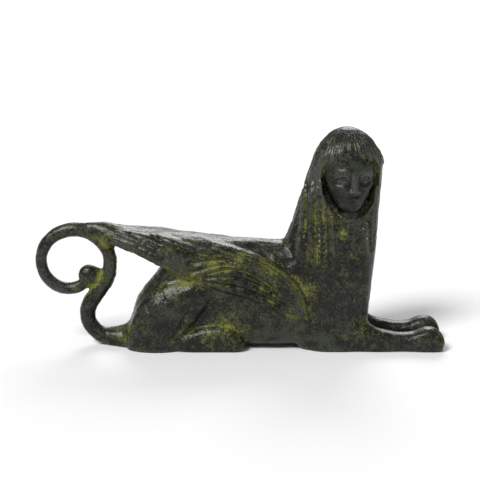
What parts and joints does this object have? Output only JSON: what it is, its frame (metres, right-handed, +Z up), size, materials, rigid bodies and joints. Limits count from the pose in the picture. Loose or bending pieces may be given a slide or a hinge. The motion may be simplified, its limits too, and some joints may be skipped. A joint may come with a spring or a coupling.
{
  "type": "sphinx statue",
  "caption": "Small cast bronze sphinx lying down, with folded wings, a tail curled into a ring, and a woman's head and bust turned to one side.",
  "frame": {"origin": "on the ground, in the middle of the statue's length and width", "axes": "+X along the body towards the forepaws, +Z up; the face looks to -Y"},
  "size_m": [0.1634, 0.0294, 0.0885],
  "materials": {
    "bronze": "aged cast bronze, dark olive brown and satin, with yellow-green verdigris in the hollows"
  },
  "bodies": {
    "root": {"sphinx": "bronze"}
  },
  "joints": []
}
